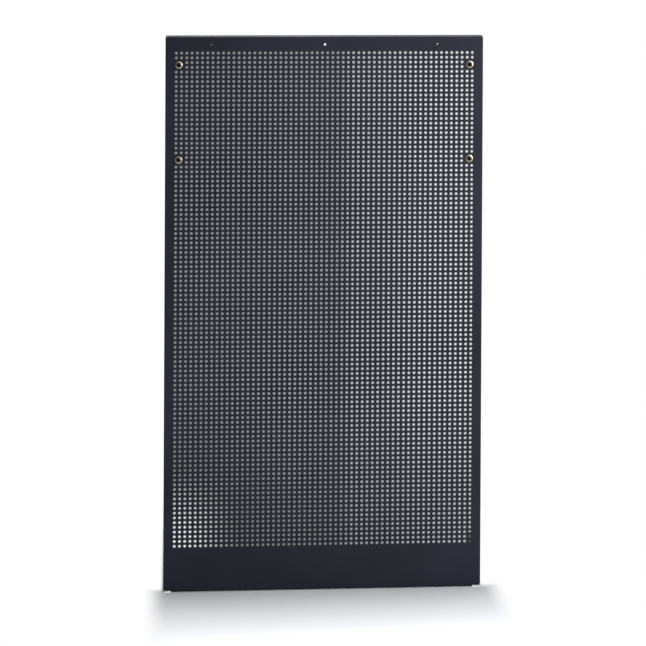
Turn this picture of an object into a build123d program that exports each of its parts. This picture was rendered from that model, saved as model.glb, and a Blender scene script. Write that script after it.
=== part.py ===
from build123d import *
import os

os.makedirs("parts", exist_ok=True)

# Free-standing back bay of a gondola: a perforated sheet-steel back panel that
# hangs by four hook brackets in the slotted posts of a low welded frame, with
# two tapered base legs behind it and four screw levellers.
# +X to the right seen from the shopper's side, +Y to the rear, +Z up.
# Origin: on the floor, centre of the width, in the plane of the panel's face.

sides = (-1, 1)          # left, right
over = 1.0               # how far cutters start and end beyond a wall
m6_hex = 5.0             # half across flats of the M6 nuts
m6_nut_h = 5.0
m8_hex = 6.5             # half across flats of the M8 heads and nuts

# ---- back panel ----------------------------------------------------------
panel_w = 673.0          # width over the folded edges
panel_bot = 4.0          # lower edge above the floor
panel_top = 1173.0       # upper edge
sheet = 1.0              # sheet thickness
flange = 25.0            # depth of the folded edges
bend_out = 2.0           # outer bend radius
bottom_bend = 1.0        # outer bend radius of the bottom fold
relief = 1.2             # width of the corner notch where two folds meet
notch_h = relief + bend_out
fold_gap = 3.0           # from the end of the bottom fold to the post
cols, rows = 58, 105     # perforations
pitch_x, pitch_z = 11.0, 10.0
hole_r = 3.0
row0_z = 1138.0          # height of the first row of perforations
field_top = row0_z + pitch_z / 2
field_bot = field_top - pitch_z * rows
# bracket screws, each amid the four perforations it replaces
screw_x = (cols / 2 - 1) * pitch_x
screw_zs = (1113.0, 913.0)
screw_spots = [(side * screw_x, z) for side in sides for z in screw_zs]
screw_hole_r = 3.3       # clearance hole for M6
header_z = 1155.5        # three small holes in the top margin
header_xs = (-240.0, 0.0, 240.0)
header_spots = [(x, header_z) for x in header_xs]
header_r = 2.75

# ---- frame ---------------------------------------------------------------
post_x = 329.0           # post centre line
post_w, post_d, wall = 12.0, 40.0, 1.5
post_y0 = 14.0           # front face of the posts
post_y1 = post_y0 + post_d
post_mid_y = (post_y0 + post_y1) / 2
post_z0, post_z1 = 26.0, 1165.0
inner_side_x = post_x - post_w / 2
corner_r = 2.0           # outer corners of the tubes and caps
slot_w, slot_h = 5.0, 32.0
slot_top_z = 1125.0      # centre of the topmost slot
slot_pitch, slot_n = 50.0, 21
rail_len = 2 * inner_side_x
leg_y1 = 400.0           # rear end of the legs
leg_wall = 2.0
leg_front_h, leg_rear_h = 58.0, 24.0
bolt_z = 53.5
post_bolts = [(y, bolt_z) for y in (26.5, 42.5)]
leg_bolts_yz = [(y, bolt_z) for y in (66.0, 82.0)]
joint_bolts = post_bolts + leg_bolts_yz
bolt_r, bolt_hole_r = 4.0, 4.25
front_leveller_y, rear_leveller_y = 24.8, 380.0


def write(name, builder):
    builder.part.label = name
    export_step(builder.part, "parts/" + name + ".step", write_pcurves=False)


# ==== perforated panel ====================================================
# The folded sheet is built band by band up its height. Every band is a slice
# of the same U-shaped section, so the bands share their cut faces; those are
# dropped and the rest of the skin is sewn into one closed sheet.
def u_section(z):
    """The U section of the sheet with its two side folds, at height z."""
    half_w = panel_w / 2
    inner_x = half_w - sheet
    with BuildSketch(Plane.XY.offset(z)) as section:
        with BuildLine():
            Polyline(
                (-half_w, 0), (half_w, 0), (half_w, flange), (inner_x, flange),
                (inner_x, sheet), (-inner_x, sheet), (-inner_x, flange), (-half_w, flange),
                close=True,
            )
        make_face()
        outer = section.vertices().group_by(Axis.Y)[0]
        fillet(outer, bend_out)
        inner = [v for v in section.vertices()
                 if abs(v.Y - sheet) < 1e-6 and abs(abs(v.X) - inner_x) < 1e-6]
        fillet(inner, bend_out - sheet)
    return section.sketch


# one plain row of perforations
with BuildPart() as row_band:
    add(u_section(0))
    extrude(amount=pitch_z)
    with BuildSketch(Plane.XZ):
        with Locations((0, pitch_z / 2)):
            with GridLocations(pitch_x, pitch_z, cols, 1):
                Circle(hole_r)
    extrude(amount=-sheet, mode=Mode.SUBTRACT)

# two rows, with the bracket screws in place of two by two perforations
with BuildPart() as screw_band:
    add(u_section(0))
    extrude(amount=2 * pitch_z)
    with BuildSketch(Plane.XZ):
        with Locations((0, pitch_z)):
            with GridLocations(pitch_x, pitch_z, cols - 4, 2):
                Circle(hole_r)
        with Locations((-screw_x, pitch_z), (screw_x, pitch_z)):
            Circle(screw_hole_r)
    extrude(amount=-sheet, mode=Mode.SUBTRACT)

# top margin with its fold and the three header holes
side_fold_top = panel_top - notch_h
with BuildPart() as top_band:
    add(u_section(field_top))
    extrude(amount=side_fold_top - field_top)
    with BuildSketch(Plane.YZ.offset(-panel_w / 2 + relief)) as top_fold:
        with BuildLine():
            Polyline(
                (0, side_fold_top), (sheet, side_fold_top),
                (sheet, panel_top - sheet), (flange, panel_top - sheet),
                (flange, panel_top), (0, panel_top), close=True,
            )
        make_face()
        fillet(top_fold.vertices().sort_by_distance((0, panel_top, 0))[0], bend_out)
    extrude(amount=panel_w - 2 * relief)
    with BuildSketch(Plane.XZ):
        with Locations(*header_spots):
            Circle(header_r)
    extrude(amount=-sheet, mode=Mode.SUBTRACT)

# plain bottom margin with its fold, kept clear of the posts and their feet
with BuildPart() as bottom_band:
    add(u_section(field_bot))
    extrude(amount=-(field_bot - panel_bot - notch_h))
    with BuildSketch(Plane.XZ):
        with Locations((0, panel_bot + notch_h / 2)):
            Rectangle(panel_w - 2 * relief, notch_h)
    extrude(amount=-sheet)
    with BuildSketch(Plane.XY.offset(panel_bot)):
        with Locations((0, flange / 2)):
            Rectangle(2 * (inner_side_x - fold_gap), flange)
    extrude(amount=sheet)
    fillet(bottom_band.edges().filter_by(Axis.X).filter_by(
        lambda edge: abs(edge.center().Y) < 1e-6
        and abs(edge.center().Z - panel_bot) < 1e-6), bottom_bend)


def open_faces(part, dz, cut_zs):
    """Faces of a band moved up by dz, without the cut faces at the heights cut_zs."""
    kept = []
    for face in part.moved(Location((0, 0, dz))).faces():
        box = face.bounding_box()
        flat = box.max.Z - box.min.Z < 1e-6
        if flat and any(abs(box.min.Z - z) < 1e-6 for z in cut_zs):
            continue
        kept.append(face)
    return kept


skin = open_faces(top_band.part, 0, (field_top,))
skin += open_faces(bottom_band.part, 0, (field_bot,))
band_top = field_top
while band_top > field_bot + 1:
    if any(abs(band_top - pitch_z - z) < 1e-6 for z in screw_zs):
        band, band_h = screw_band, 2 * pitch_z
    else:
        band, band_h = row_band, pitch_z
    band_bot = band_top - band_h
    skin += open_faces(band.part, band_bot, (band_top, band_bot))
    band_top = band_bot

with BuildPart() as perforated_panel:
    add(Solid(Shell(skin)), clean=False)
write("perforated_panel", perforated_panel)

# ==== hook brackets =======================================================
bracket_t = 3.0
bracket_x0, bracket_x1 = 296.0, 332.0
tall_x0 = 319.0          # the last column of perforations ends at 316.5
tall_down, tall_up = 18.0, 14.0  # reach of the tall part from the screw
tab_h = 22.0             # height of the tab round the screw
bracket_corner_r = 3.0
hook_slot_dz = slot_top_z - screw_zs[0]  # slot centre above the screw
neck_bot = hook_slot_dz - slot_h / 2 + 0.6
neck_top = neck_bot + 14.0
tooth_bot = neck_bot - 14.0
tooth_y0 = post_y0 + wall + 0.5
tooth_y1 = tooth_y0 + 8.0
blade_y0 = sheet + 1     # inside the plate
# outline of a hook blade: y, height above the screw
blade_profile = [
    (blade_y0, neck_bot), (tooth_y0, neck_bot),
    (tooth_y0, tooth_bot), (tooth_y1 - 3, tooth_bot),
    (tooth_y1, tooth_bot + 6), (tooth_y1, neck_top - 3),
    (tooth_y1 - 3, neck_top), (blade_y0, neck_top),
]

with BuildPart() as hook_brackets:
    for side in sides:
        for z in screw_zs:
            with BuildSketch(Plane.XZ.offset(-sheet)):
                # a tab round the screw that stays between the rows of
                # perforations, and a taller part outside the last column
                with Locations((side * (bracket_x0 + bracket_x1) / 2, z)):
                    RectangleRounded(bracket_x1 - bracket_x0, tab_h, bracket_corner_r)
                with Locations((side * (tall_x0 + bracket_x1) / 2,
                                z + (tall_up - tall_down) / 2)):
                    RectangleRounded(bracket_x1 - tall_x0, tall_up + tall_down,
                                     bracket_corner_r)
                with Locations((side * screw_x, z)):
                    Circle(screw_hole_r, mode=Mode.SUBTRACT)
            extrude(amount=-bracket_t)
            with BuildSketch(Plane.YZ.offset(side * post_x - bracket_t / 2)):
                with BuildLine():
                    Polyline(*[(y, z + dz) for y, dz in blade_profile], close=True)
                make_face()
            extrude(amount=bracket_t)
write("hook_brackets", hook_brackets)

# ==== bracket fasteners ===================================================
washer_t = 1.2           # wide washer under the screw head
head_y0 = -washer_t - 3.3  # front of the screw head
socket_hex, socket_depth = 2.0, 2.1
rear_washer_y0 = sheet + bracket_t
rear_washer_t = 1.0
nut_y0 = rear_washer_y0 + rear_washer_t
screw_y1 = nut_y0 + m6_nut_h + 1.2
# half sections: radius, y
screw_profile = [
    (0, head_y0), (3.0, head_y0), (4.1, head_y0 + 0.6), (4.9, head_y0 + 1.7),
    (5.25, head_y0 + 2.8), (5.25, -washer_t), (3.0, -washer_t),
    (3.0, screw_y1 - 0.6), (2.4, screw_y1), (0, screw_y1),
]
front_washer_profile = [
    (3.2, 0), (3.2, -washer_t), (5.9, -washer_t), (7.3, -0.75), (7.7, -0.4), (7.7, 0),
]

with BuildPart() as bracket_screws:
    for x, z in screw_spots:
        with BuildSketch(Plane.XY.offset(z)):
            with BuildLine():
                Polyline(*[(x + r, y) for r, y in screw_profile], close=True)
            make_face()
        revolve(axis=Axis((x, 0, z), (0, 1, 0)))
        with BuildSketch(Plane.XZ.offset(-head_y0)):
            with Locations((x, z)):
                RegularPolygon(socket_hex, 6, major_radius=False)
        extrude(amount=-socket_depth, mode=Mode.SUBTRACT)
write("bracket_screws", bracket_screws)

# wide dished washers in front of the panel, thinner at the rim
with BuildPart() as front_washers:
    for x, z in screw_spots:
        with BuildSketch(Plane.XY.offset(z)):
            with BuildLine():
                Polyline(*[(x + r, y) for r, y in front_washer_profile], close=True)
            make_face()
        revolve(axis=Axis((x, 0, z), (0, 1, 0)))
write("front_washers", front_washers)

with BuildPart() as rear_washers:
    with BuildSketch(Plane.XZ.offset(-rear_washer_y0)):
        with Locations(*screw_spots):
            Circle(6.0)
            Circle(3.2, mode=Mode.SUBTRACT)
    extrude(amount=-rear_washer_t)
write("rear_washers", rear_washers)

with BuildPart() as bracket_nuts:
    with BuildSketch(Plane.XZ.offset(-nut_y0)):
        with Locations(*screw_spots):
            RegularPolygon(m6_hex, 6, major_radius=False)
            Circle(3.02, mode=Mode.SUBTRACT)
    extrude(amount=-m6_nut_h)
write("bracket_nuts", bracket_nuts)

# ==== posts ===============================================================
slot_spots_z = [slot_top_z - slot_pitch * i for i in range(slot_n)]
tube_inner_r = 0.5       # inner corners of the tubes


def upright(side):
    """One slotted post."""
    with BuildPart() as post:
        with BuildSketch(Plane.XY.offset(post_z0)):
            with Locations((side * post_x, post_mid_y)):
                RectangleRounded(post_w, post_d, corner_r)
                RectangleRounded(post_w - 2 * wall, post_d - 2 * wall, tube_inner_r,
                                 mode=Mode.SUBTRACT)
        extrude(amount=post_z1 - post_z0)
        with BuildSketch(Plane.XZ.offset(-post_y0 + over)):
            with Locations(*[(side * post_x, z) for z in slot_spots_z]):
                SlotOverall(slot_h, slot_w, rotation=90)
        extrude(amount=-(post_d + 2 * over), mode=Mode.SUBTRACT)
        # holes for the two joint bolts in the inner wall
        with BuildSketch(Plane.YZ.offset(side * (inner_side_x - over))):
            with Locations(*post_bolts):
                Circle(bolt_hole_r)
        extrude(amount=side * (wall + 2 * over), mode=Mode.SUBTRACT)
    return post


write("left_upright", upright(-1))
write("right_upright", upright(1))

# Caps of posts and legs: a plate with a hollow plug that enters the tube.
cap_t = 3.0
cap_edge_r = 1.0
plug_wall = 2.0

plug_w = post_w - 2 * wall - 0.2
plug_d = post_d - 2 * wall - 0.2
with BuildPart() as upright_caps:
    for side in sides:
        with BuildSketch(Plane.XY.offset(post_z1)):
            with Locations((side * post_x, post_mid_y)):
                RectangleRounded(post_w, post_d, corner_r)
        extrude(amount=cap_t)
        with BuildSketch(Plane.XY.offset(post_z1)):
            with Locations((side * post_x, post_mid_y)):
                RectangleRounded(plug_w, plug_d, 1)
                Rectangle(plug_w - 2 * plug_wall, plug_d - 2 * plug_wall, mode=Mode.SUBTRACT)
        extrude(amount=-12)
    fillet(upright_caps.faces().sort_by(Axis.Z)[-2:].edges(), cap_edge_r)
write("upright_caps", upright_caps)

# ==== rails ===============================================================
rail_d = 20.0
top_rail_z0, top_rail_h = 1145.0, 20.0
bottom_rail_z0, bottom_rail_h = 66.0, 10.0
rail_hole_r = 7.0        # behind the header holes of the panel


def rail(z0, height, hole_spots=()):
    """A tube between the posts, with holes through it from front to rear."""
    with BuildPart() as tube:
        with BuildSketch(Plane.YZ.offset(-rail_len / 2)):
            with Locations((post_mid_y, z0 + height / 2)):
                RectangleRounded(rail_d, height, corner_r)
                RectangleRounded(rail_d - 2 * wall, height - 2 * wall, tube_inner_r,
                                 mode=Mode.SUBTRACT)
        extrude(amount=rail_len)
        if hole_spots:
            with BuildSketch(Plane.XZ.offset(-(post_mid_y - rail_d / 2) + over)):
                with Locations(*hole_spots):
                    Circle(rail_hole_r)
            extrude(amount=-(rail_d + 2 * over), mode=Mode.SUBTRACT)
    return tube


write("top_rail", rail(top_rail_z0, top_rail_h, header_spots))
write("bottom_rail", rail(bottom_rail_z0, bottom_rail_h))


# ==== base legs ===========================================================
def base_leg(side):
    """One tapered box-section leg."""
    z0 = post_z0
    front_top, rear_top = z0 + leg_front_h, z0 + leg_rear_h
    # change of the top's height over the cutter's overrun
    drop = over * (front_top - rear_top) / (leg_y1 - post_y1)
    with BuildPart() as leg:
        with BuildSketch(Plane.YZ.offset(side * post_x)):
            with BuildLine():
                Polyline((post_y1, z0), (leg_y1, z0), (leg_y1, rear_top),
                         (post_y1, front_top), close=True)
            make_face()
        extrude(amount=post_w / 2, both=True)
        with BuildSketch(Plane.YZ.offset(side * post_x)):
            with BuildLine():
                Polyline((post_y1 - over, z0 + leg_wall), (leg_y1 + over, z0 + leg_wall),
                         (leg_y1 + over, rear_top - leg_wall - drop),
                         (post_y1 - over, front_top - leg_wall + drop), close=True)
            make_face()
        extrude(amount=post_w / 2 - leg_wall, both=True, mode=Mode.SUBTRACT)
        # leveller hole in the floor of the leg
        with BuildSketch(Plane.XY.offset(z0 - over)):
            with Locations((side * post_x, rear_leveller_y)):
                Circle(3.5)
        extrude(amount=leg_wall + 2 * over, mode=Mode.SUBTRACT)
        # two joint-bolt holes in the inner wall
        with BuildSketch(Plane.YZ.offset(side * (inner_side_x - over))):
            with Locations(*leg_bolts_yz):
                Circle(bolt_hole_r)
        extrude(amount=side * (leg_wall + 2 * over), mode=Mode.SUBTRACT)
    return leg


write("left_base_leg", base_leg(-1))
write("right_base_leg", base_leg(1))

leg_plug_w = post_w - 2 * leg_wall - 0.3
leg_plug_h = leg_rear_h - 2 * leg_wall - 0.3
with BuildPart() as leg_caps:
    for side in sides:
        with BuildSketch(Plane.XZ.offset(-leg_y1)):
            with Locations((side * post_x, post_z0 + leg_rear_h / 2)):
                RectangleRounded(post_w, leg_rear_h, corner_r)
        extrude(amount=-cap_t)
        with BuildSketch(Plane.XZ.offset(-leg_y1)):
            with Locations((side * post_x, post_z0 + leg_rear_h / 2)):
                Rectangle(leg_plug_w, leg_plug_h)
                Rectangle(leg_plug_w - 2 * plug_wall, leg_plug_h - 2 * plug_wall,
                          mode=Mode.SUBTRACT)
        extrude(amount=8)
    fillet(leg_caps.faces().sort_by(Axis.Y)[-2:].edges(), cap_edge_r)
write("leg_caps", leg_caps)

# flat bar welded between the two legs near their rear ends
with BuildPart() as rear_tie_bar:
    with BuildSketch(Plane.YZ.offset(-rail_len / 2)):
        with Locations((355, post_z0 + 5.5)):
            RectangleRounded(25, 10, 1)
    extrude(amount=rail_len)
write("rear_tie_bar", rear_tie_bar)

# ==== joints between legs and posts =======================================
plate_t = 3.0
plate_x = inner_side_x - plate_t
plate_mid_y = 54.5
plate_len, plate_h, plate_corner_r = 74.0, 23.0, 4.0
bolt_head_t = 5.3
bolt_len = 12.5
weld_nut_h = 6.5

with BuildPart() as leg_joint_plates:
    for side in sides:
        with BuildSketch(Plane.YZ.offset(side * plate_x)):
            with Locations((plate_mid_y, bolt_z)):
                RectangleRounded(plate_len, plate_h, plate_corner_r)
            with Locations(*joint_bolts):
                Circle(bolt_hole_r, mode=Mode.SUBTRACT)
        extrude(amount=side * plate_t)
write("leg_joint_plates", leg_joint_plates)

with BuildPart() as leg_bolts:
    for side in sides:
        with BuildSketch(Plane.YZ.offset(side * plate_x)):
            with Locations(*joint_bolts):
                RegularPolygon(m8_hex, 6, major_radius=False)
        extrude(amount=-side * bolt_head_t)
        with BuildSketch(Plane.YZ.offset(side * plate_x)):
            with Locations(*joint_bolts):
                Circle(bolt_r)
        extrude(amount=side * bolt_len)
write("leg_bolts", leg_bolts)

with BuildPart() as leg_weld_nuts:
    for side in sides:
        for wall_t, spots in ((wall, post_bolts), (leg_wall, leg_bolts_yz)):
            with BuildSketch(Plane.YZ.offset(side * (inner_side_x + wall_t))):
                with Locations(*spots):
                    RegularPolygon(m8_hex, 6, major_radius=False)
                with Locations(*spots):
                    Circle(bolt_r + 0.02, mode=Mode.SUBTRACT)
            extrude(amount=side * weld_nut_h)
write("leg_weld_nuts", leg_weld_nuts)

# ==== bumpers =============================================================
# rubber bumpers between the posts and the back of the panel
bumper_zs = (150.0, 650.0)
bumper_r = 5.0
bumper_gap = 0.1         # to the back of the panel
with BuildPart() as panel_bumpers:
    for side in sides:
        for z in bumper_zs:
            with BuildSketch(Plane.XZ.offset(-post_y0)):
                with Locations((side * post_x, z)):
                    Circle(bumper_r)
            extrude(amount=post_y0 - sheet - bumper_gap, taper=3)
write("panel_bumpers", panel_bumpers)

# ==== levellers ===========================================================
stud_r = 3.0
stud_hole_r = 3.05
insert_h = 8.0
insert_gap = 0.1         # play in width and depth inside the tubes
stud_hex, stud_hex_z0, stud_hex_h = 4.5, 12.5, 5.0
# half sections: radius, z
pad_profile = [
    (0, 0), (6.8, 0), (7.4, 0.9), (7.4, 3.5), (6.2, 6.6), (5.5, 11.0),
    (2.9, 11.0), (2.9, 7.0), (5.0, 7.0), (5.0, 4.0), (0, 4.0),
]
stud_profile = [
    (0, 4.1), (4.7, 4.1), (4.7, 6.6), (2.6, 6.6), (2.6, 12.0),
    (stud_r, 12.0), (stud_r, 45.2), (stud_r - 0.8, 46.0), (0, 46.0),
]

with BuildPart() as leveller_inserts:
    for side in sides:
        with BuildSketch(Plane.XY.offset(post_z0)):
            with Locations((side * post_x, post_mid_y)):
                RectangleRounded(post_w - 2 * wall - insert_gap,
                                 post_d - 2 * wall - insert_gap, 1)
            with Locations((side * post_x, front_leveller_y)):
                Circle(stud_hole_r, mode=Mode.SUBTRACT)
        extrude(amount=insert_h)
        with BuildSketch(Plane.XY.offset(post_z0 + leg_wall)):
            with Locations((side * post_x, rear_leveller_y)):
                Rectangle(post_w - 2 * leg_wall - insert_gap, 20)
                Circle(stud_hole_r, mode=Mode.SUBTRACT)
        extrude(amount=insert_h)
write("leveller_inserts", leveller_inserts)

with BuildPart() as leveller_lock_nuts:
    for side in sides:
        for y in (front_leveller_y, rear_leveller_y):
            with BuildSketch(Plane.XY.offset(post_z0)):
                with Locations((side * post_x, y)):
                    RegularPolygon(m6_hex, 6, major_radius=False)
                    Circle(stud_hole_r, mode=Mode.SUBTRACT)
            extrude(amount=-m6_nut_h)
write("leveller_lock_nuts", leveller_lock_nuts)


def foot_pad(x, y):
    """Round foot with a socket that captures the stud's flange."""
    with BuildPart() as pad:
        with BuildSketch(Plane.XZ.offset(-y)):
            with BuildLine():
                Polyline(*[(x + r, z) for r, z in pad_profile], close=True)
            make_face()
        revolve(axis=Axis((x, y, 0), (0, 0, 1)))
    return pad


def levelling_stud(x, y):
    """Levelling stud: captured flange, neck, spanner hexagon and M6 shank."""
    with BuildPart() as stud:
        with BuildSketch(Plane.XZ.offset(-y)):
            with BuildLine():
                Polyline(*[(x + r, z) for r, z in stud_profile], close=True)
            make_face()
        revolve(axis=Axis((x, y, 0), (0, 0, 1)))
        with BuildSketch(Plane.XY.offset(stud_hex_z0)):
            with Locations((x, y)):
                RegularPolygon(stud_hex, 6, major_radius=False)
        extrude(amount=stud_hex_h)
    return stud


for x, hand in ((-post_x, "left"), (post_x, "right")):
    for y, end in ((front_leveller_y, "front"), (rear_leveller_y, "rear")):
        write(end + "_" + hand + "_foot_pad", foot_pad(x, y))
        write(end + "_" + hand + "_levelling_stud", levelling_stud(x, y))
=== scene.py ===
import bpy, bmesh, math
from mathutils import Matrix, Vector


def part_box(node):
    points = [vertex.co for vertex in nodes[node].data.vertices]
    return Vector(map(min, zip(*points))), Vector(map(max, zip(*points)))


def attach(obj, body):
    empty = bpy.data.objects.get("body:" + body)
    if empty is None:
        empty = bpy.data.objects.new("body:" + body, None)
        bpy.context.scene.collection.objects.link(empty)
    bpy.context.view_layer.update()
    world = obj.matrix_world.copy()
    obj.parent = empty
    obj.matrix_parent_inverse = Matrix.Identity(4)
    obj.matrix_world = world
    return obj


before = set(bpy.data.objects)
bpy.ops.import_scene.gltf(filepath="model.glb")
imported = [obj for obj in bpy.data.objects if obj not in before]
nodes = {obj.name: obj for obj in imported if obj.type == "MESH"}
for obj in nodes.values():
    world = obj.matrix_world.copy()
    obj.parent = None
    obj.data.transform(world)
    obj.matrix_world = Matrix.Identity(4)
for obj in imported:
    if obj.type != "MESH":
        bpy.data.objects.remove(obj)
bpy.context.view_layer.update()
sc = bpy.context.scene


# ---------------------------------------------------------------- node helpers
class G:
    """Small helper round one material's or the world's node tree."""

    def __init__(self, tree):
        self.t = tree
        self.t.nodes.clear()

    def n(self, kind, **kw):
        x = self.t.nodes.new(kind)
        for k, v in kw.items():
            if k in x.inputs and not hasattr(type(x), k):
                x.inputs[k].default_value = v
            else:
                setattr(x, k, v)
        return x

    def l(self, a, b):
        self.t.links.new(a, b)

    def math(self, op, a, b=None, c=None, clamp=False):
        x = self.t.nodes.new("ShaderNodeMath")
        x.operation, x.use_clamp = op, clamp
        for i, v in enumerate((a, b, c)):
            if v is None:
                continue
            if isinstance(v, (int, float)):
                x.inputs[i].default_value = v
            else:
                self.l(v, x.inputs[i])
        return x.outputs[0]

    def noise(self, vec, scale, detail=3.0, rough=0.5):
        x = self.t.nodes.new("ShaderNodeTexNoise")
        x.inputs["Scale"].default_value = scale
        x.inputs["Detail"].default_value = detail
        x.inputs["Roughness"].default_value = rough
        self.l(vec, x.inputs["Vector"])
        return x.outputs["Fac"]

    def smooth(self, v, a, b, lo=0.0, hi=1.0):
        x = self.t.nodes.new("ShaderNodeMapRange")
        x.interpolation_type = "SMOOTHSTEP"
        x.inputs["From Min"].default_value = a
        x.inputs["From Max"].default_value = b
        x.inputs["To Min"].default_value = lo
        x.inputs["To Max"].default_value = hi
        self.l(v, x.inputs["Value"])
        return x.outputs["Result"]

    def mix(self, fac, a, b):
        x = self.t.nodes.new("ShaderNodeMix")
        x.data_type = "RGBA"
        ins = [i for i in x.inputs if i.type == "RGBA"]
        for i, v in zip(ins, (a, b)):
            if isinstance(v, tuple):
                i.default_value = (*v[:3], 1)
            else:
                self.l(v, i)
        f = [i for i in x.inputs if i.type == "VALUE"][0]
        if isinstance(fac, (int, float)):
            f.default_value = fac
        else:
            self.l(fac, f)
        return [o for o in x.outputs if o.type == "RGBA"][0]


def material(name):
    m = bpy.data.materials.new(name)
    m.use_nodes = True
    g = G(m.node_tree)
    out = g.n("ShaderNodeOutputMaterial")
    b = g.n("ShaderNodeBsdfPrincipled")
    g.l(b.outputs["BSDF"], out.inputs["Surface"])
    tc = g.n("ShaderNodeTexCoord").outputs["Object"]
    return m, g, b, tc


def bump(g, b, height, strength, dist):
    x = g.n("ShaderNodeBump")
    x.inputs["Strength"].default_value = strength
    x.inputs["Distance"].default_value = dist
    g.l(height, x.inputs["Height"])
    g.l(x.outputs["Normal"], b.inputs["Normal"])


def powder_coat(name, dark, light, rough=0.52):
    """Fine-textured charcoal powder coat: orange-peel grain, cloudy tone, a few scuffs."""
    m, g, b, tc = material(name)
    cloud = g.smooth(g.noise(tc, 3.2, 4, 0.55), 0.34, 0.68)
    col = g.mix(cloud, dark, light)
    fleck = g.smooth(g.noise(tc, 950, 2), 0.56, 0.70)
    col = g.mix(g.math("MULTIPLY", fleck, 0.28), col, tuple(2.0 * c for c in light))
    scuff = g.smooth(g.noise(tc, 34, 8, 0.72), 0.66, 0.74)
    col = g.mix(g.math("MULTIPLY", scuff, 0.16), col, tuple(2.6 * c for c in light))
    g.l(col, b.inputs["Base Color"])
    r = g.math("MULTIPLY_ADD", g.noise(tc, 60, 5), 0.16, rough - 0.08)
    g.l(g.math("SUBTRACT", r, g.math("MULTIPLY", scuff, 0.08)), b.inputs["Roughness"])
    b.inputs["Specular IOR Level"].default_value = 0.31
    peel = g.math("ADD", g.noise(tc, 620, 3), g.math("MULTIPLY", g.noise(tc, 190, 2), 0.6))
    bump(g, b, peel, 0.35, 0.00006)
    return m


def zinc(name, tones, rough, metal=1.0):
    """Zinc-plated steel, with the passivation's drifting tint and fine tooling marks."""
    m, g, b, tc = material(name)
    film = g.noise(tc, 240, 3, 0.6)
    ramp = g.n("ShaderNodeValToRGB")
    els = ramp.color_ramp.elements
    while len(els) < len(tones):
        els.new(0.5)
    for i, (p, c) in enumerate(tones):
        els[i].position = p
        els[i].color = (*c, 1)
    g.l(film, ramp.inputs["Fac"])
    g.l(ramp.outputs["Color"], b.inputs["Base Color"])
    b.inputs["Metallic"].default_value = metal
    g.l(g.math("MULTIPLY_ADD", g.noise(tc, 900, 4), 0.22, rough - 0.08), b.inputs["Roughness"])
    bump(g, b, g.noise(tc, 1800, 2), 0.25, 0.00003)
    return m


def plastic(name, dark, light, rough, grain=1300, depth=0.00005):
    """Moulded plastic or rubber: matt grain with faint dust in random patches."""
    m, g, b, tc = material(name)
    col = g.mix(g.smooth(g.noise(tc, 22, 5), 0.35, 0.7), dark, light)
    dust = g.smooth(g.noise(tc, 130, 6, 0.7), 0.60, 0.78)
    col = g.mix(g.math("MULTIPLY", dust, 0.25), col, tuple(3 * c for c in light))
    g.l(col, b.inputs["Base Color"])
    g.l(g.math("MULTIPLY_ADD", g.noise(tc, 300, 3), 0.18, rough - 0.08), b.inputs["Roughness"])
    bump(g, b, g.noise(tc, grain, 2), 0.4, depth)
    return m


coat_panel = powder_coat("coat_panel", (0.0132, 0.0142, 0.0242), (0.0194, 0.0204, 0.0340))
coat_frame = powder_coat("coat_frame", (0.0215, 0.0230, 0.0290), (0.0290, 0.0305, 0.0380), 0.50)
coat_bracket = powder_coat("coat_bracket", (0.020, 0.021, 0.027), (0.028, 0.029, 0.036), 0.46)
yellow_zinc = zinc("yellow_zinc", [(0.30, (0.72, 0.55, 0.34)), (0.46, (0.86, 0.70, 0.46)),
                                   (0.56, (0.76, 0.70, 0.50)), (0.70, (0.84, 0.56, 0.40))], 0.38)
bright_zinc = zinc("bright_zinc", [(0.32, (0.50, 0.52, 0.55)), (0.55, (0.66, 0.67, 0.68)),
                                   (0.72, (0.58, 0.61, 0.66))], 0.36)
black_oxide = zinc("black_oxide", [(0.30, (0.018, 0.018, 0.021)), (0.52, (0.030, 0.030, 0.036)),
                                   (0.70, (0.022, 0.024, 0.034))], 0.34, 0.6)
black_plastic = plastic("black_plastic", (0.012, 0.012, 0.013), (0.022, 0.022, 0.024), 0.50)
rubber = plastic("rubber", (0.010, 0.010, 0.010), (0.017, 0.017, 0.017), 0.78, 700, 0.00009)

by_node = {
    "perforated_panel": coat_panel, "hook_brackets": coat_bracket,
    "bracket_screws": black_oxide, "front_washers": yellow_zinc,
    "rear_washers": yellow_zinc, "bracket_nuts": yellow_zinc,
    "left_upright": coat_frame, "right_upright": coat_frame, "top_rail": coat_frame,
    "bottom_rail": coat_frame, "left_base_leg": coat_frame, "right_base_leg": coat_frame,
    "leg_joint_plates": coat_frame, "leg_bolts": bright_zinc, "leg_weld_nuts": bright_zinc,
    "leveller_inserts": bright_zinc, "leveller_lock_nuts": bright_zinc,
    "upright_caps": black_plastic, "leg_caps": black_plastic, "panel_bumpers": rubber,
}
for name, o in nodes.items():
    m = by_node.get(name)
    if m is None:
        m = bright_zinc if name.endswith("levelling_stud") else black_plastic
    if not o.material_slots:
        o.data.materials.append(m)
    for s in o.material_slots:
        s.material = m

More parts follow.
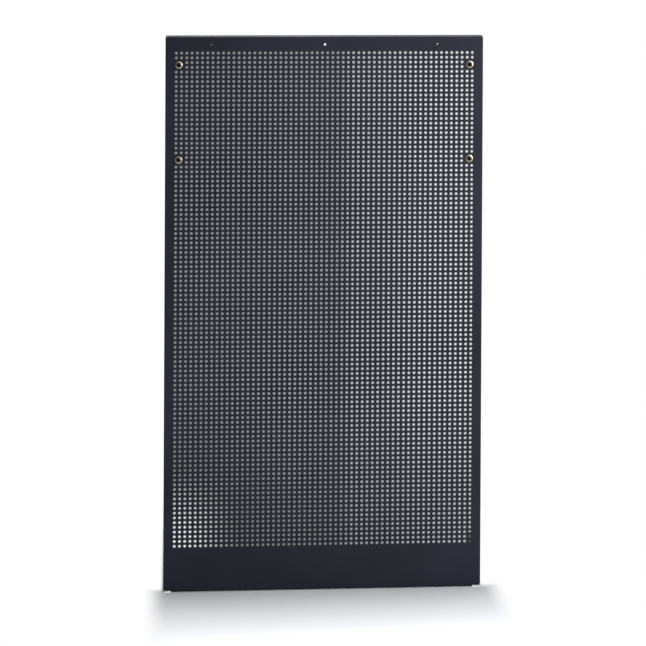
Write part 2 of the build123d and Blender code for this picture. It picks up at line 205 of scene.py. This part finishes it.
# ---------------------------------------------------------------- weld beads
def bead(name, path, closed, radius=0.0015):
    """A rippled weld bead swept along path (points in the row frame, metres)."""
    pts = [Vector(q) for q in path]
    fine = []
    n = len(pts)
    for i in range(n if closed else n - 1):
        a, b = pts[i], pts[(i + 1) % n]
        steps = max(1, int((b - a).length / 0.0004))
        fine += [a.lerp(b, j / steps) for j in range(steps)]
    if not closed:
        fine.append(pts[-1])
    m = len(fine)
    bm = bmesh.new()
    rings = []
    side = Vector((1, 0, 0))
    for i, q in enumerate(fine):
        t = fine[(i + 1) % m] - fine[i - 1] if closed else fine[min(i + 1, m - 1)] - fine[max(i - 1, 0)]
        t.normalize()
        out = t.cross(side).normalized()
        ripple = abs(math.sin(i * 0.0004 / 0.0017 * math.pi))
        r = radius * (0.86 + 0.16 * ripple + 0.05 * math.sin(i * 0.11))
        rings.append([bm.verts.new(q + r * (math.cos(k * math.pi / 5) * out + math.sin(k * math.pi / 5) * side))
                      for k in range(10)])
    for i in range(m if closed else m - 1):
        a, b = rings[i], rings[(i + 1) % m]
        for k in range(10):
            bm.faces.new((a[k], a[(k + 1) % 10], b[(k + 1) % 10], b[k]))
    if not closed:
        bm.faces.new(rings[0][::-1])
        bm.faces.new(rings[-1])
    bmesh.ops.recalc_face_normals(bm, faces=bm.faces)
    me = bpy.data.meshes.new(name)
    bm.to_mesh(me)
    bm.free()
    for f in me.polygons:
        f.use_smooth = True
    me.materials.append(coat_frame)
    o = bpy.data.objects.new(name, me)
    sc.collection.objects.link(o)
    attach(o, "frame")
    return o


def loop(x, y0, y1, z0, z1, c=0.0016, n=4):
    """A rounded rectangle round a tube's end, in the plane of X."""
    pts = []
    for cy, cz, a0 in ((y1 - c, z1 - c, 0), (y0 + c, z1 - c, 90), (y0 + c, z0 + c, 180), (y1 - c, z0 + c, 270)):
        for j in range(n + 1):
            a = math.radians(a0 + 90 * j / n)
            pts.append((x, cy + c * math.cos(a), cz + c * math.sin(a)))
    return pts


for part in ("top_rail", "rear_tie_bar", "bottom_rail"):
    lo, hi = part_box(part)
    for sx, side_name in ((lo.x, "left"), (hi.x, "right")):
        x = sx + (0.0004 if sx < 0 else -0.0004)
        if part == "bottom_rail":      # the joint plate is in the way underneath
            z = hi.z + 0.0003
            path = [(x, lo.y - 0.0003, lo.z + 0.002), (x, lo.y - 0.0003, z - 0.001), (x, lo.y + 0.0007, z),
                    (x, hi.y - 0.0007, z), (x, hi.y + 0.0003, z - 0.001), (x, hi.y + 0.0003, lo.z + 0.002)]
            bead(side_name + "_bottom_rail_weld", path, False)
        else:
            path = loop(x, lo.y - 0.0003, hi.y + 0.0003, lo.z - 0.0003, hi.z + 0.0003)
            bead(side_name + "_" + part + "_weld", path, True)

# ---------------------------------------------------------------- camera
def rot(deg, axis):
    return Matrix.Rotation(math.radians(deg), 3, axis)


# Eye height, almost level, with the lens shifted down so the uprights stay parallel.
E = Vector((-0.3163, -4.5, 1.6139))
look = rot(-3.936, "Z") @ rot(-0.476, "X") @ rot(-0.286, "Y") @ rot(90, "X")
cam = bpy.data.objects.new("camera", bpy.data.cameras.new("camera"))
cam.data.sensor_width = 36.0
cam.data.lens = 119.08
cam.data.shift_y = -0.7394
cam.data.clip_end = 100
cam.matrix_world = Matrix.Translation(E) @ look.to_4x4()
sc.collection.objects.link(cam)
sc.camera = cam
# The shift belongs to this one standpoint: a lookup curve over the camera's
# own X brings it back to nought as soon as the camera is moved elsewhere.
curve = cam.data.driver_add("shift_y")
curve.driver.type = "SUM"
var = curve.driver.variables.new()
var.type = "TRANSFORMS"
var.targets[0].id = cam
var.targets[0].transform_type = "LOC_X"
var.targets[0].transform_space = "WORLD_SPACE"
for mod in list(curve.modifiers):
    curve.modifiers.remove(mod)
points = [(-0.018, 0.0), (-0.006, -0.7394), (0.006, -0.7394), (0.018, 0.0)]
curve.keyframe_points.add(len(points))
for kp, (dx, y) in zip(curve.keyframe_points, points):
    kp.co = (E.x + dx, y)
    kp.interpolation = "LINEAR"
curve.extrapolation = "CONSTANT"
curve.update()

# ---------------------------------------------------------------- stage
def quad(name, pts):
    me = bpy.data.meshes.new(name)
    me.from_pydata(pts, [], [(0, 1, 2, 3)])
    o = bpy.data.objects.new(name, me)
    sc.collection.objects.link(o)
    return o


def main_view(g):
    """1 while the camera looks the way it does in the main picture, else 0."""
    vt = g.n("ShaderNodeVectorTransform", vector_type="VECTOR", convert_from="WORLD", convert_to="CAMERA")
    vt.inputs[0].default_value = (0, 1, 0)
    sv = g.n("ShaderNodeSeparateXYZ")
    g.l(vt.outputs[0], sv.inputs[0])
    want = look.transposed() @ Vector((0, 1, 0))
    dx = g.math("LESS_THAN", g.math("ABSOLUTE", g.math("SUBTRACT", sv.outputs["X"], float(want.x))), 0.004)
    dy = g.math("LESS_THAN", g.math("ABSOLUTE", g.math("SUBTRACT", sv.outputs["Y"], float(want.y))), 0.004)
    return g.math("MULTIPLY", dx, dy)


floor = quad("floor", [(-9, -9, 0), (9, -9, 0), (9, 9, 0), (-9, 9, 0)])
m = bpy.data.materials.new("floor_pale_painted_glow")
m.use_nodes = True
g = G(m.node_tree)
out = g.n("ShaderNodeOutputMaterial")
dif = g.n("ShaderNodeBsdfDiffuse")
pos = g.n("ShaderNodeNewGeometry").outputs["Position"]
dif_near = g.mix(g.noise(pos, 2.0, 3), (0.64, 0.64, 0.655), (0.67, 0.67, 0.685))
em = g.n("ShaderNodeEmission")
em.inputs["Color"].default_value = (1, 1, 1, 1)
ln = g.n("ShaderNodeVectorMath", operation="LENGTH")
g.l(pos, ln.inputs[0])
dif_col = g.mix(g.smooth(ln.outputs["Value"], 0.36, 0.80), dif_near, (0.34, 0.34, 0.345))
lp = g.n("ShaderNodeLightPath")
dif_col = g.mix(lp.outputs["Is Camera Ray"], (0.36, 0.36, 0.355), dif_col)   # little bounce up the panel
g.l(dif_col, dif.inputs["Color"])
fsep = g.n("ShaderNodeSeparateXYZ")
g.l(pos, fsep.inputs[0])
# Painted light: camera rays see the floor turn into glowing white emission from 0.37 m out from the middle, beside
# the panel's sides and, in the main view, just behind them; the glow paints out the panel's cast shadow there and
# cuts it short.
aside = g.smooth(g.math("ABSOLUTE", g.math("SUBTRACT", fsep.outputs["X"], 0.006)), 0.332, 0.388)
wide = g.math("ABSOLUTE", fsep.outputs["X"])
behind = g.math("MULTIPLY", g.smooth(fsep.outputs["Y"], -0.012, 0.03), g.smooth(wide, 0.334, 0.344))
painted_glow_fade = g.math("MAXIMUM", g.math("MAXIMUM", g.smooth(ln.outputs["Value"], 0.37, 0.75), aside),
              g.math("MULTIPLY", behind, main_view(g)))
painted_glow_fade = g.math("MULTIPLY", painted_glow_fade, lp.outputs["Is Camera Ray"])
mx = g.n("ShaderNodeMixShader")
g.l(painted_glow_fade, mx.inputs[0]); g.l(dif.outputs[0], mx.inputs[1]); g.l(em.outputs[0], mx.inputs[2])
g.l(mx.outputs[0], out.inputs["Surface"])
floor.data.materials.append(m)

# A grey glowing card stands behind the panel for the main camera only, so that the
# perforations show a mid-grey studio wall whose light and shade are painted into the glow. Turned away from, it
# isn't seen.
yc = 0.12
k = (yc - E.y) / (0.0 - E.y)


def cast(x, z):
    """The point of the card that the camera sees at x, z of the panel's face."""
    return (E.x + (x - E.x) * k, yc, E.z + (z - E.z) * k)


card = quad("backdrop_card", [cast(-0.3195, 0.085), cast(0.3195, 0.085), cast(0.3195, 1.162), cast(-0.3195, 1.162)])
for a in ("visible_diffuse", "visible_glossy", "visible_transmission", "visible_volume_scatter", "visible_shadow"):
    setattr(card, a, False)
m = bpy.data.materials.new("backdrop_painted_light")
m.use_nodes = True
g = G(m.node_tree)
out = g.n("ShaderNodeOutputMaterial")
em = g.n("ShaderNodeEmission")
tr = g.n("ShaderNodeBsdfTransparent")
pos = g.n("ShaderNodeNewGeometry").outputs["Position"]
sep = g.n("ShaderNodeSeparateXYZ")
g.l(pos, sep.inputs[0])
x = g.math("MULTIPLY_ADD", g.math("SUBTRACT", sep.outputs["X"], E.x), 1 / k, E.x)
z = g.math("MULTIPLY_ADD", g.math("SUBTRACT", sep.outputs["Z"], E.z), 1 / k, E.z)
u = g.math("MULTIPLY_ADD", x, 1 / 0.67, 0.5)   # across the panel's face, 0 left, 1 right
v = g.math("DIVIDE", z, 1.173)                 # up the panel's face, 0 floor, 1 top


def grey_ramp(fac, stops):
    ramp = g.n("ShaderNodeValToRGB")
    els = ramp.color_ramp.elements
    while len(els) < len(stops):
        els.new(0.5)
    for i, (p, c) in enumerate(stops):
        els[i].position = p
        els[i].color = (c, c, c, 1)
    g.l(fac, ramp.inputs["Fac"])
    return ramp.outputs["Color"]


# painted light and shade across the card: dim on the left, brighter to the right
across = grey_ramp(u, [(0.04, 0.235), (0.25, 0.262), (0.40, 0.305), (0.545, 0.31), (0.595, 0.45), (0.68, 0.46),
                       (0.80, 0.58), (0.97, 0.66)])
# painted shade, darker towards the floor on the right, with one painted pool of light low on the left
low = g.smooth(v, 0.08, 0.40, 0.66, 1.0)
patch = g.math("MULTIPLY", g.smooth(u, 0.24, 0.05, 0.0, 0.52), g.smooth(v, 0.23, 0.10))
level = g.math("ADD", g.math("MULTIPLY", across, low), patch)
# painted light behind the three header holes: dim, bright, fair
header = grey_ramp(u, [(0.0, 0.07), (0.3, 0.07), (0.4, 0.95), (0.6, 0.95), (0.7, 0.5), (1.0, 0.5)])
hv = g.n("ShaderNodeSeparateColor")
g.l(header, hv.inputs[0])
top = g.smooth(v, 0.976, 0.979)
level = g.math("ADD", g.math("MULTIPLY", level, g.math("SUBTRACT", 1.0, top)),
               g.math("MULTIPLY", hv.outputs[0], top))
cl = g.smooth(g.noise(pos, 2.4, 2), 0.35, 0.65, 0.95, 1.05)
tint = g.n("ShaderNodeCombineColor")
g.l(level, tint.inputs[0]); g.l(level, tint.inputs[1])
g.l(g.math("MULTIPLY", level, 1.03), tint.inputs[2])
g.l(tint.outputs[0], em.inputs["Color"])
g.l(cl, em.inputs["Strength"])
on = main_view(g)
mx = g.n("ShaderNodeMixShader")
g.l(on, mx.inputs[0]); g.l(tr.outputs[0], mx.inputs[1]); g.l(em.outputs[0], mx.inputs[2])
g.l(mx.outputs[0], out.inputs["Surface"])
card.data.materials.append(m)

# ---------------------------------------------------------------- light
w = bpy.data.worlds.new("studio")
sc.world = w
w.use_nodes = True
g = G(w.node_tree)
out = g.n("ShaderNodeOutputWorld")
bg = g.n("ShaderNodeBackground")
bg.inputs["Color"].default_value = (1, 1, 1, 1)
g.l(bg.outputs[0], out.inputs["Surface"])
tc = g.n("ShaderNodeTexCoord").outputs["Generated"]
sep = g.n("ShaderNodeSeparateXYZ")
g.l(tc, sep.inputs[0])
lp = g.n("ShaderNodeLightPath")
up = g.smooth(sep.outputs["Z"], -0.2, 0.9, 0.0, 0.10)
back = g.smooth(sep.outputs["Y"], -0.3, 0.8, 0.0, 0.20)
right = g.smooth(sep.outputs["X"], -0.3, 0.9, 0.0, 0.26)
amb = g.math("ADD", g.math("ADD", g.math("ADD", up, back), right), 0.05)
st = g.math("ADD", g.math("MULTIPLY", amb, g.math("SUBTRACT", 1.0, lp.outputs["Is Camera Ray"])),
            lp.outputs["Is Camera Ray"])
g.l(st, bg.inputs["Strength"])


def area(name, at, to, size, watts, color=(1, 1, 1)):
    d = bpy.data.lights.new(name, "AREA")
    d.shape, d.size, d.size_y = "RECTANGLE", size[0], size[1]
    d.energy, d.color = watts, color
    o = bpy.data.objects.new(name, d)
    o.matrix_world = Matrix.Translation(at) @ (Vector(at) - Vector(to)).to_track_quat("Z", "Y").to_matrix().to_4x4()
    sc.collection.objects.link(o)
    o.visible_camera = False
    return o


area("key", (1.9, -1.6, 1.6), (0.1, 0, 0.8), (1.0, 1.4), 71, (0.94, 0.965, 1.0))
area("top", (0.0, 0.27, 3.5), (0, 0.27, 0), (0.6, 0.56), 130)

sc.view_settings.view_transform = "Standard"
sc.view_settings.look = "None"
sc.view_settings.exposure = 0.0
